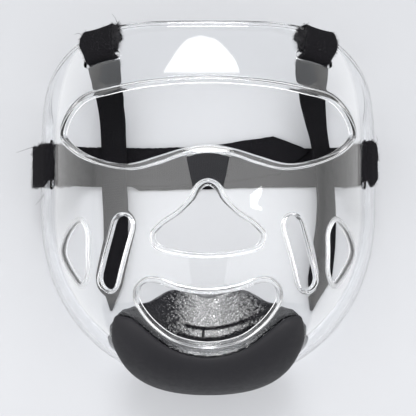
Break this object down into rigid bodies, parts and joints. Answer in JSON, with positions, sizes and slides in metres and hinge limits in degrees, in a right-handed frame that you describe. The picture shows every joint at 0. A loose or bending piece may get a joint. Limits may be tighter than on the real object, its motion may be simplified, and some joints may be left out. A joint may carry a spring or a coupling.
{
  "type": "sparring face shield",
  "caption": "Clear moulded face shield with eye, nose, mouth and cheek openings, a padded chin and webbing straps, lying face up.",
  "frame": {"origin": "middle of the footprint, on the surface the shield lies on", "axes": "+X across the face, +Y from the chin towards the forehead, +Z out of the front of the face, up from the surface"},
  "size_m": [0.214, 0.2201, 0.1078],
  "materials": {
    "clear_plastic": "clear polished polycarbonate",
    "soft_touch": "charcoal soft-touch skin over foam",
    "leather": "black pebbled synthetic leather with a satin shine",
    "webbing": "black woven hook-and-loop strap"
  },
  "bodies": {
    "root": {"shield_shell": "clear_plastic", "chin_guard": "soft_touch", "chin_pad": "leather", "crown_strap_left": "webbing", "crown_strap_right": "webbing", "back_strap_left": "webbing", "back_strap_right": "webbing"}
  },
  "joints": []
}
